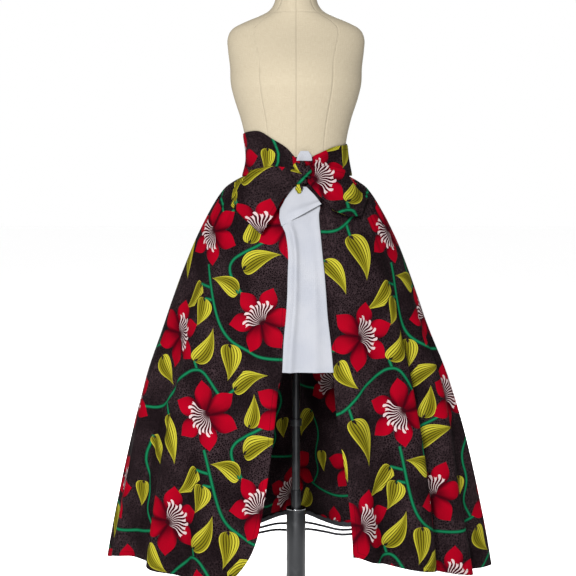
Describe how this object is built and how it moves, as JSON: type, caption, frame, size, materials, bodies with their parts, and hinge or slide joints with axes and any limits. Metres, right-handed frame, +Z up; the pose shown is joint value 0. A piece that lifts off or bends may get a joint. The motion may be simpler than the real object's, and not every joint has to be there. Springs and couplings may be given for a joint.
{
  "type": "printed maxi skirt on dress form",
  "caption": "Floor-length flared printed skirt, open at the front and tied with a sash bow and long tail, on a limbless dress form with a round base.",
  "frame": {"origin": "centre of the base disc's underside, on the floor", "axes": "+Z up along the stand's pole, the skirt's open front faces -Y, +X to the right as seen from the front"},
  "size_m": [0.918, 0.6925, 1.586],
  "materials": {
    "printed_cotton": "waxed cotton print, matt with a slight sheen",
    "white_cotton": "plain white cotton",
    "grey_tape": "dark woven tape",
    "cream_linen": "cream linen cover",
    "dark_metal": "dark grey enamel, satin",
    "bright_metal": "bright plated ring"
  },
  "bodies": {
    "stand": {"base_disc": "dark_metal", "column": "dark_metal", "column_ring": "bright_metal", "sleeve": "dark_metal"},
    "form": {"pole": "dark_metal", "pole_collar": "dark_metal", "pole_flange": "dark_metal", "torso": "cream_linen", "neck_cap": "cream_linen", "skirt_front_left": "printed_cotton", "skirt_front_right": "printed_cotton", "skirt_back_right": "printed_cotton", "skirt_back_left": "printed_cotton", "waistband": "printed_cotton", "sash": "printed_cotton", "knot": "printed_cotton", "knot_tip": "printed_cotton", "bow_loop_left": "printed_cotton", "bow_loop_right": "printed_cotton", "tail": "white_cotton", "tail_fold": "white_cotton", "tail_head": "white_cotton", "hem_facing_right": "grey_tape", "hem_facing_left": "grey_tape", "hem_hoop_upper": "grey_tape", "hem_hoop_lower": "grey_tape", "hoop_tape_1": "grey_tape", "hoop_tape_2": "grey_tape", "hoop_tape_3": "grey_tape", "hoop_tape_4": "grey_tape"}
  },
  "joints": [
    {"name": "height_slide", "type": "slide", "parent": "stand", "child": "form", "axis": [0, 0, 1], "range_m": [-0.12, 0.1]}
  ]
}
